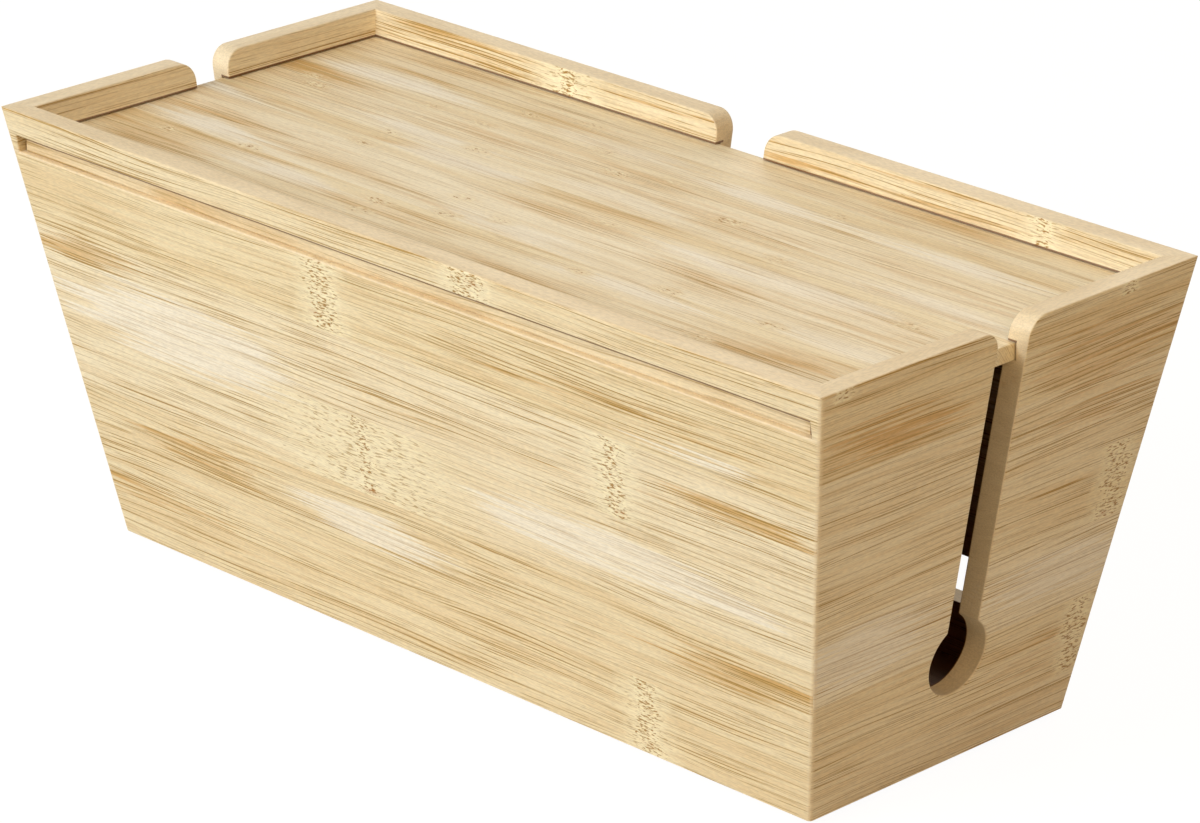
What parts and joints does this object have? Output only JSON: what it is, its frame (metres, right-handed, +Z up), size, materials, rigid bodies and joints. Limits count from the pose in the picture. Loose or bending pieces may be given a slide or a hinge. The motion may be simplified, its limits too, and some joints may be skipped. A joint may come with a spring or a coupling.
{
  "type": "cable management box",
  "caption": "Bamboo cable management box with walls that lean outward, cable slots and holes, and a flat lid that slides out through the front wall.",
  "frame": {"origin": "middle of the box on the surface that its feet stand on", "axes": "+X to the right seen from the front, +Y to the rear, +Z up; the lid slides out towards -Y"},
  "size_m": [0.3204, 0.1458, 0.133],
  "materials": {
    "bamboo": "satin lacquer over laminated bamboo",
    "bamboo_key": "raw, glued in",
    "foot_rubber": "matte non-slip"
  },
  "bodies": {
    "box": {"front_wall": "bamboo", "rear_wall": "bamboo", "left_wall": "bamboo", "right_wall": "bamboo", "base_panel": "bamboo", "corner_key_front_left": "bamboo_key", "corner_key_front_right": "bamboo_key", "corner_key_rear_left": "bamboo_key", "corner_key_rear_right": "bamboo_key", "foot_front_left": "foot_rubber", "foot_front_right": "foot_rubber", "foot_rear_left": "foot_rubber", "foot_rear_right": "foot_rubber"},
    "lid": {"sliding_lid": "bamboo"}
  },
  "joints": [
    {"name": "lid_slide", "type": "slide", "parent": "box", "child": "lid", "axis": [0, -1, 0], "range_m": [0, 0.13]}
  ]
}
